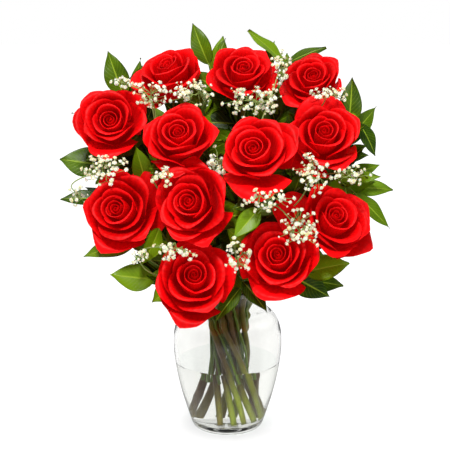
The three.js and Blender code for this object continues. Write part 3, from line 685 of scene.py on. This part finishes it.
def flower_template():
    """One double blossom about the origin, opening along +Z, with a radius of 1."""
    shapes = []
    local = np.random.default_rng(5)
    for ring, (count, tilt, size) in enumerate(BLOSSOM_RINGS):
        for k in range(count):
            v, u = blade_grid(4, 4)
            half = 0.42 * size * np.sin(math.pi * (0.18 + 0.6 * v))
            lift = math.radians(tilt + local.uniform(-8, 8))
            curl = 0.25 * v**2 * size * local.uniform(-0.6, 0.8)
            out = 0.05 + v * size * math.cos(lift) - curl * math.sin(lift)
            up = 0.12 * ring + v * size * math.sin(lift) + curl * math.cos(lift) + 0.12 * u**2 * v
            angle = 2 * math.pi * (k / count + 0.37 * ring) + local.uniform(-0.2, 0.2)
            c, s = math.cos(angle), math.sin(angle)
            y = u * half
            spun = np.stack([out * c - y * s, out * s + y * c, up], axis=-1)
            shapes.append(shell(spun[:, ::-1], np.full(v.shape, 0.05), 1, 1))
    middle = np.outer([-0.35, 0.0, 0.4, 0.7, 0.85], UP)
    shapes.append(tube(middle, np.array([0.3, 0.6, 0.62, 0.4, 0.12]), 8, 1))
    cup = np.outer([-0.6, -0.35, 0.05, 0.2], UP)
    shapes.append(tube(cup, np.array([0.12, 0.32, 0.34, 0.1]), 6))
    return joined_shape(shapes)


def head_shapes(middle, spread):
    """A cloud of blossoms on fine branches."""
    spread = np.array(spread, float)
    count = int(BLOSSOM_DENSITY * spread[0] * spread[2]) + 8
    shapes, forks = [], []
    for _ in range(max(4, count // 7)):
        way = rng.normal(size=3)
        fork = middle + unit(way) * spread * rng.uniform(0.3, 0.62)
        forks.append(fork)
        sag = 0.5 * (middle + fork) - UP * rng.uniform(0, 3)
        line = along([middle, sag, fork], np.linspace(0, 1, 5))
        shapes.append(tube(line, FORK_RADIUS, 5))
    for _ in range(count):
        for _ in range(BLOSSOM_TRIES):
            way = unit(rng.normal(size=3))
            place = middle + way * spread * rng.uniform(0.3, 1.25) ** 0.7
            if not in_a_bloom(place, 2):
                break
        else:
            continue
        fork = min(forks, key=lambda f: np.linalg.norm(f - place))
        out = unit(unit(place - fork) + 0.7 * way + np.array([0, -0.5, 0.3]))
        line = along([fork, 0.5 * (fork + place) - out, place - out * 1.5], np.linspace(0, 1, 4))
        shapes.append(tube(line, STALK_RADIUS, 4))
        size = rng.uniform(*(OPEN_BLOSSOM if rng.random() < OPEN_SHARE else BUD))
        axes = axes_along(out)
        spin = rng.uniform(0, 360)
        axes[:2] = [turned(axes[0], axes[2], spin), turned(axes[1], axes[2], spin)]
        shapes.append(placed(flower, axes * size, place))
    return shapes


# -------------------- nodes
def feed(tree, socket, value):
    """Gives a socket a plain value, or links it to the output that value is."""
    if isinstance(value, bpy.types.NodeSocket):
        tree.links.new(value, socket)
    else:
        socket.default_value = value


def node(tree, kind, *inputs, **values):
    """A node. inputs feed its first sockets; values are its properties and its sockets by name."""
    n = tree.nodes.new("ShaderNode" + kind)
    for key, value in values.items():
        if hasattr(n, key):
            setattr(n, key, value)
    for socket, value in enumerate(inputs):
        feed(tree, n.inputs[socket], value)
    for key, value in values.items():
        if not hasattr(n, key):
            feed(tree, n.inputs[key.replace("_", " ")], value)
    return n


def calc(tree, operation, *inputs, clamp=False):
    """The result of a Math node."""
    return node(tree, "Math", *inputs, operation=operation, use_clamp=clamp).outputs[0]


def product(tree, value, *factors):
    """The values multiplied together."""
    for factor in factors:
        value = calc(tree, "MULTIPLY", value, factor)
    return value


def mapped(tree, value, low, high, to_low=0.0, to_high=1.0):
    """value taken from the range low to high to another range, and no further."""
    return node(tree, "MapRange", value, low, high, to_low, to_high).outputs[0]


def ramp(tree, value, *stops):
    """A color for value, from stops of (value, color)."""
    n = node(tree, "ValToRGB", value)
    elements = n.color_ramp.elements
    for element, (position, color) in zip(elements, (stops[0], stops[-1])):
        element.position, element.color = position, (*color, 1)
    for position, color in stops[1:-1]:
        elements.new(position).color = (*color, 1)
    return n.outputs["Color"]


def mixed(tree, factor, a, b, kind="MIX"):
    """Color a, taken to color b or multiplied by it, as far as factor says."""
    n = node(tree, "Mix", data_type="RGBA", blend_type=kind, Factor=factor, A=a, B=b)
    return n.outputs["Result"]


def bands(tree, vector, scale, distortion=0.0, detail=2.0):
    """Soft parallel lines across X."""
    return node(tree, "TexWave", vector, wave_type="BANDS", bands_direction="X", Scale=scale,
                Distortion=distortion, Detail=detail).outputs["Fac"]


def noise(tree, vector, scale, detail):
    """Clouds, from 0 to 1."""
    return node(tree, "TexNoise", vector, Scale=scale, Detail=detail).outputs["Fac"]


def patches(tree, scale):
    """Soft patches that differ from one petal or blade to the next, from 0 to 1."""
    cloud = noise(tree, node(tree, "TexCoord").outputs["Object"], scale, 3.0)
    island = node(tree, "NewGeometry").outputs["Random Per Island"]
    return product(tree, calc(tree, "ADD", cloud, island), 0.5)


def embossed(tree, shader, height, strength, distance):
    """Fine relief on a shader's surface."""
    bump = node(tree, "Bump", Height=height, Strength=strength, Distance=distance)
    feed(tree, shader.inputs["Normal"], bump.outputs["Normal"])


# -------------------- materials
def grey(level):
    return (level, level, level)


def material(name, color, roughness, **sockets):
    """A Principled material with plain values on its sockets."""
    m = bpy.data.materials.new(name)
    m.use_nodes = True
    shader = m.node_tree.nodes["Principled BSDF"]
    shader.inputs["Base Color"].default_value = (*color, 1)
    shader.inputs["Roughness"].default_value = roughness
    for socket, value in sockets.items():
        shader.inputs[socket.replace("_", " ")].default_value = value
    return m, m.node_tree, shader


def petal_material():
    """Velvety red with faint veins, painted shade that darkens it towards the foot, a painted
    highlight along the very edge, and a faint painted red glow.
    """
    # The red emission is a painted glow, not a lamp, that lifts the shade between the petals.
    m, tree, shader = material("petal", (0.60, 0.001, 0.004), 0.5, Specular_IOR_Level=0.12,
                               Sheen_Weight=0.04, Sheen_Roughness=0.4, Sheen_Tint=(1.0, 0.06, 0.07, 1),
                               Emission_Color=(0.6, 0.0, 0.002, 1), Emission_Strength=0.12)
    uv = node(tree, "TexCoord").outputs["UV"]
    up = node(tree, "SeparateXYZ", uv).outputs["Y"]
    color = ramp(tree, patches(tree, 34.0), (0.25, (0.6, 0.0005, 0.001)), (0.5, (0.8, 0.001, 0.002)),
                 (0.75, (0.96, 0.002, 0.004)))
    # Painted shade: the petal's colour is darkened towards its foot, deep in the bloom, where shade
    # falls.
    depth = ramp(tree, up, (0.3, grey(0.65)), (0.7, grey(1)))
    color = mixed(tree, 1.0, color, depth, "MULTIPLY")
    # Painted highlight: the very edge is mixed towards a paler red, as where the rolled rims catch the
    # light.
    color = mixed(tree, mapped(tree, up, 0.9, 1.0, 0.0, 0.4), color, (0.9, 0.008, 0.01, 1))
    veins = bands(tree, uv, 4.0, 5.0, 3.0)
    streaks = ramp(tree, veins, (0.1, grey(0.88)), (0.9, grey(1)))
    feed(tree, shader.inputs["Base Color"], mixed(tree, 1.0, color, streaks, "MULTIPLY"))
    embossed(tree, shader, veins, 0.3, 0.0005)
    return m


def leaf_material(name, dark, bright, rib, roughness):
    """Patchy green with a light midrib, and side veins that run forward from it."""
    m, tree, shader = material(name, bright, roughness, Specular_IOR_Level=0.22)
    color = ramp(tree, patches(tree, 42.0), (0.3, dark), (0.72, bright))
    uv = node(tree, "SeparateXYZ", node(tree, "TexCoord").outputs["UV"]).outputs
    aside = calc(tree, "ABSOLUTE", calc(tree, "SUBTRACT", uv["X"], 0.5))
    ahead = calc(tree, "ADD", uv["Y"], product(tree, aside, -0.55))
    side_veins = bands(tree, node(tree, "CombineXYZ", ahead).outputs[0], 3.4)
    side_veins = product(tree, mapped(tree, side_veins, 0.93, 1.0), 0.3)
    veins = calc(tree, "MAXIMUM", side_veins, mapped(tree, aside, 0.045, 0.012))
    feed(tree, shader.inputs["Base Color"], mixed(tree, veins, color, (*rib, 1)))
    embossed(tree, shader, veins, 0.35, 0.0006)
    return m


def stem_material(name, scale, *stops):
    """Patchy green and brown, drawn out along the stem."""
    m, tree, shader = material(name, stops[1][1], 0.42, Specular_IOR_Level=0.3)
    where = node(tree, "TexCoord").outputs["Object"]
    cloud = noise(tree, node(tree, "Mapping", where, Scale=(1, 1, 0.35)).outputs[0], scale, 4.0)
    feed(tree, shader.inputs["Base Color"], ramp(tree, cloud, *stops))
    embossed(tree, shader, cloud, 0.2, 0.0005)
    return m


def blossom_material():
    """Creamy white, a little see-through, with a faint painted glow that lifts its shade."""
    # The cream emission is a painted glow, not a lamp, that brightens the blossoms in their shade.
    m, tree, shader = material("blossom", (0.9, 0.88, 0.74), 0.7, Specular_IOR_Level=0.2,
                               Subsurface_Weight=0.35, Subsurface_Scale=0.003,
                               Emission_Color=(1.0, 0.95, 0.78, 1), Emission_Strength=0.08)
    cloud = noise(tree, node(tree, "TexCoord").outputs["Object"], 160.0, 2.0)
    color = ramp(tree, cloud, (0.35, (0.84, 0.76, 0.44)), (0.55, (0.97, 0.94, 0.8)))
    feed(tree, shader.inputs["Base Color"], color)
    return m


def clear_material(name, color, ior, open_top=False):
    """Clear glass or water, that lets the lamps' light through.

    With open_top, what comes in through a see-through face also leaves without a bend.
    """
    m, tree, shader = material(name, color, 0.0, IOR=ior, Transmission_Weight=1.0)
    path = node(tree, "LightPath").outputs
    unbent = path["Is Shadow Ray"]
    if open_top:
        unbent = calc(tree, "ADD", unbent, path["Transparent Depth"], clamp=True)
    through = node(tree, "BsdfTransparent", (0.93, 0.95, 0.94, 1)).outputs[0]
    mix = node(tree, "MixShader", unbent, shader.outputs[0], through).outputs[0]
    feed(tree, tree.nodes["Material Output"].inputs["Surface"], mix)
    return m


def unseen_material(name):
    """The still top of the water, that doesn't show."""
    m, tree, shader = material(name, grey(1), 0.0)
    tree.nodes.remove(shader)
    through = node(tree, "BsdfTransparent").outputs[0]
    feed(tree, tree.nodes["Material Output"].inputs["Surface"], through)
    return m


petal_red = petal_material()
leaf_top = leaf_material("leaf", (0.018, 0.05, 0.001), (0.14, 0.25, 0.003), (0.26, 0.38, 0.02), 0.34)
leaf_under = leaf_material("leaf_underside", (0.03, 0.07, 0.006), (0.14, 0.22, 0.03),
                           (0.24, 0.34, 0.07), 0.5)
rose_green = stem_material("rose_stem", 22, (0.34, (0.1, 0.04, 0.012)), (0.5, (0.15, 0.12, 0.014)),
                           (0.66, (0.22, 0.27, 0.02)))
twig_green = stem_material("twig", 30, (0.3, (0.07, 0.08, 0.01)), (0.5, (0.13, 0.2, 0.015)),
                           (0.7, (0.2, 0.32, 0.02)))
spray_green = stem_material("spray_branch", 50, (0.3, (0.16, 0.22, 0.05)), (0.5, (0.24, 0.34, 0.08)),
                            (0.7, (0.36, 0.46, 0.14)))
blossom_white = blossom_material()
glass = clear_material("vase_glass", (0.93, 0.93, 0.915), 1.5)
water_clear = clear_material("water", (0.985, 0.995, 0.98), 1.333, open_top=True)
water_top = unseen_material("water_surface")

# -------------------- roses
rose_stems = []
for i, rose in enumerate(ROSES, 1):
    foot, axes = BLOOM_FRAMES[i - 1]
    petals = [placed(shape, axes, foot) for shape in bloom_shapes(rose)]
    made(f"petals_{i:02d}", petals, [petal_red], [f"rose_bloom_{i:02d}"])
    points, joined = welded(f"rose_stem_{i:02d}")
    neck = foot - axes[2] * (HIP_LENGTH + 1)
    line = centre_line(points, routes_to_foot(points, joined), neck, STEM_RADIUS)
    line = np.vstack([foot - axes[2] * 0.5 * HIP_LENGTH, line])
    shapes = stalk_shapes(line)
    shapes += [placed(shape, axes, foot) for shape in hip_shapes()]
    rose_stems.append((shapes, line))

for i, (shapes, line) in enumerate(rose_stems, 1):
    shapes += stem_leaves(line)
    made(f"stem_{i:02d}", shapes, [rose_green, leaf_top, leaf_under], [f"rose_stem_{i:02d}"])


# -------------------- foliage and baby's breath
def branch_maker(name, radius, sides, shares):
    """Makes the branches of a CAD node one by one, each to where it meets one made before it.

    shares are of the radius: at the tip, and at 60 and 200 mm from it.
    """
    points, joined = welded(name)
    after = routes_to_foot(points, joined)
    lines = []

    def branch(start):
        line = centre_line(points, after, start, radius, lines)
        lines.append(line)
        taper = np.interp(np.arange(len(line)) * LINE_STEP, [0, 60, 200], shares)
        return line, tube(line, radius * taper, sides)

    return branch


for i, twigs in enumerate(SPRIGS, 1):
    name = f"foliage_sprig_{i:02d}"
    branch = branch_maker(name, TWIG_RADIUS, 8, [0.6, 0.85, 1])
    shapes = []
    for twig in twigs:
        end = np.array(twig["tip"]) - unit(np.array(twig["aim"], float)) * twig["leaf"]
        line, shape = branch(end)
        shapes += [shape, *twig_leaves(twig, end), *lower_leaves(twig, line)]
    made(f"foliage_{i:02d}", shapes, [twig_green, leaf_top, leaf_under], [name])

flower = flower_template()
for i, heads in enumerate(SPRAYS, 1):
    name = f"gypsophila_spray_{i:02d}"
    branch = branch_maker(name, SPRAY_RADIUS, 7, [0.5, 0.8, 1])
    shapes = []
    for middle, spread in heads:
        middle = np.array(middle, float)
        shapes += [branch(middle)[1], *head_shapes(middle, spread)]
    made(f"spray_{i:02d}", shapes, [spray_green, blossom_white], [name])


# -------------------- vase and water
def lathe_line(node_name):
    """The outline of a turned CAD node from the middle of its underside, as [radius, height]."""
    points, joined = welded(node_name)
    flat = {k: (math.hypot(*points[k][:2]), points[k][2]) for k in range(len(points))
            if points[k][0] > -0.01 and abs(points[k][1]) < 0.01}
    at = min(flat, key=lambda k: (flat[k][1], flat[k][0]))
    order = [at]
    while True:
        ahead = [k for k in joined[order[-1]] if k in flat and k not in order]
        if not ahead:
            return np.array([flat[k] for k in order])
        order.append(min(ahead, key=lambda k: math.dist(flat[k], flat[order[-1]])))


def turned_shape(line, sides):
    """A closed solid turned from a line that starts and ends on the axis."""
    angle = np.linspace(0, 2 * math.pi, sides, endpoint=False)
    rings = np.stack([line[1:-1, :1] * np.cos(angle), line[1:-1, :1] * np.sin(angle),
                      np.broadcast_to(line[1:-1, 1:], (len(line) - 2, sides))], axis=-1)
    points = np.vstack([rings.reshape(-1, 3), [[0, 0, line[0, 1]], [0, 0, line[-1, 1]]]])
    first, last = len(points) - 2, len(points) - 1
    faces = grid_faces(len(line) - 2, sides, True).tolist()
    for k in range(sides):
        n = (k + 1) % sides
        faces += [[first, n, k], [last, first - sides + k, first - sides + n]]
    return points, faces, 0, np.zeros((len(points), 2))


def fine(line, count):
    """A smooth outline through the corners of a coarse one."""
    return along(line, np.linspace(0, 1, count))


VASE_SIDES = 128
BASE_RADIUS = 33.5  # of the flat that the vase stands on
WATER_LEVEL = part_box("water")[1].z / MM
vase_line = lathe_line("glass_vase")
top = int(np.argmax(vase_line[:, 1]))
outside, inside = vase_line[1:top], vase_line[top + 1 : -1]
# The lip is rounded over from the outside to the inside.
lip = outside[-1] + np.array([[-0.3, 0.9], [-1.3, 1.3], [-2.3, 1.0], [-2.8, 0.2]])
inside = fine(np.vstack([lip[-1:], inside]), 80)
glass_line = np.vstack([[[0, 0], [BASE_RADIUS, 0]], fine(outside, 70), lip[:-1], inside,
                        vase_line[-1:]])
made("vase", [turned_shape(glass_line, VASE_SIDES)], [glass], ["glass_vase"])

# The water wets the glass, so its side lies a hair inside the wall, and its top climbs at the edge.
wet = inside[::-1]
wet = wet[wet[:, 1] < WATER_LEVEL] + np.array([0.12, -0.12])
edge = np.array([wet[-1, 0], WATER_LEVEL])
surface = edge + np.array([[-0.1, 0.4], [-1.0, 0.15], [-3, 0], [-12, 0]])
water_line = np.vstack([[[0, wet[0, 1]]], wet, surface, [[0, WATER_LEVEL]]])
points, faces, _, uv = turned_shape(water_line, VASE_SIDES)
on_top = [int(min(points[k][2] for k in face) > WATER_LEVEL - 0.5) for face in faces]
made("water_body", [(points, faces, on_top, uv)], [water_clear, water_top], ["water"])

# -------------------- stage, in metres
FLOOR_HALF = 6
FLOOR_DROP = 0.0002  # so that the vase's base and the floor don't share a plane
floor_mesh = bpy.data.meshes.new("floor")
corners = [(x * FLOOR_HALF, y * FLOOR_HALF, 0) for x, y in ((-1, -1), (1, -1), (1, 1), (-1, 1))]
floor_mesh.from_pydata(corners, [], [(0, 1, 2, 3)])
floor = bpy.data.objects.new("floor", floor_mesh)
floor.location.z = -FLOOR_DROP
bpy.context.scene.collection.objects.link(floor)


def dimmed(tree, diffuse, glossy):
    """1 for the eye and through glass, and less by these shares for light that objects take up."""
    path = node(tree, "LightPath").outputs
    mirrored = calc(tree, "SUBTRACT", path["Is Glossy Ray"], path["Is Transmission Ray"], clamp=True)
    value = 1.0
    for rays, share in ((path["Is Diffuse Ray"], diffuse), (mirrored, glossy)):
        value = calc(tree, "MULTIPLY_ADD", rays, -share, value)
    return value


def floor_material():
    """Bright white paper, that glows a little so that only the object's own shade darkens it.

    The glow drops to half close round the vase's foot, a painted contact shadow, and what glass
    and leaves see of the floor fades to dark towards the front, or it would show in the water as a
    haze.
    """
    m, tree, shader = material("floor", grey(0.3), 0.8, Specular_IOR_Level=0.0,
                               Emission_Color=(1, 1, 1, 1))
    where = node(tree, "TexCoord").outputs["Object"]
    far = node(tree, "VectorMath", where, operation="LENGTH").outputs["Value"]
    # Painted contact shadow: the glow is halved at the vase's foot and full from 0.1 m out.
    glow_with_painted_shadow = mapped(tree, far, 0.036, 0.1, 0.5, 1.0)
    darker = mapped(tree, node(tree, "SeparateXYZ", where).outputs["Y"], -0.07, -0.03, -0.85, 0.0)
    glossy = node(tree, "LightPath").outputs["Is Glossy Ray"]
    front = calc(tree, "MULTIPLY_ADD", glossy, darker, 1.0)
    strength = product(tree, glow_with_painted_shadow, dimmed(tree, 0.7, 0.9), front)
    feed(tree, shader.inputs["Emission Strength"], strength)
    return m


floor_mesh.materials.append(floor_material())

LAMPS_AIM = (0, 0, 0.25)
CAMERA_PLACE = (-0.00294, -1.4672, 0.5515)
CAMERA_AIM = (-0.00294, 0, 0.23963)
VIEW_ANGLE = math.radians(19.407)
SENSOR = 36


def turned_to(obj, place, aim):
    """Puts a lamp or the camera at place, looking at aim."""
    obj.location = place
    obj.rotation_mode = "QUATERNION"
    obj.rotation_quaternion = (Vector(aim) - Vector(place)).to_track_quat("-Z", "Y")
    bpy.context.scene.collection.objects.link(obj)


def lamp(name, place, size, watts):
    """A round soft lamp, that doesn't show through the glass."""
    data = bpy.data.lights.new(name, "AREA")
    data.shape, data.size, data.energy = "DISK", size, watts
    obj = bpy.data.objects.new(name, data)
    obj.visible_transmission = False
    turned_to(obj, place, LAMPS_AIM)
    return obj


lamp("key", (-0.3, -1.4, 1.9), 0.45, 48)
lamp("fill", (0.9, -1.6, 0.6), 0.7, 8).visible_glossy = False


def studio():
    """White for the eye. What the object sees is white behind, dimmer aside and dark in front."""
    world = bpy.data.worlds.new("studio")
    world.use_nodes = True
    tree = world.node_tree
    way = node(tree, "SeparateXYZ", node(tree, "TexCoord").outputs["Generated"]).outputs
    flags = mapped(tree, calc(tree, "ABSOLUTE", way["X"]), 0.55, 0.9, 1.0, 0.5)
    depth = mapped(tree, way["Y"], -0.3, 0.35, 0.18, 1.0)
    light = product(tree, flags, depth, dimmed(tree, 0.0, 0.6))
    path = node(tree, "LightPath").outputs
    behind = calc(tree, "GREATER_THAN", way["Y"], 0.0)
    through = product(tree, path["Is Transmission Ray"], behind, 0.72)
    seen = calc(tree, "MAXIMUM", through, path["Is Camera Ray"])
    back = tree.nodes["Background"]
    feed(tree, back.inputs["Strength"], calc(tree, "MAXIMUM", light, seen))
    back.inputs["Color"].default_value = (1, 1, 1, 1)
    bpy.context.scene.world = world


studio()
bpy.context.scene.view_settings.view_transform = "Standard"

camera_data = bpy.data.cameras.new("camera")
camera_data.sensor_width = SENSOR
camera_data.lens = SENSOR / 2 / math.tan(VIEW_ANGLE / 2)
camera = bpy.data.objects.new("camera", camera_data)
turned_to(camera, CAMERA_PLACE, CAMERA_AIM)
bpy.context.scene.camera = camera
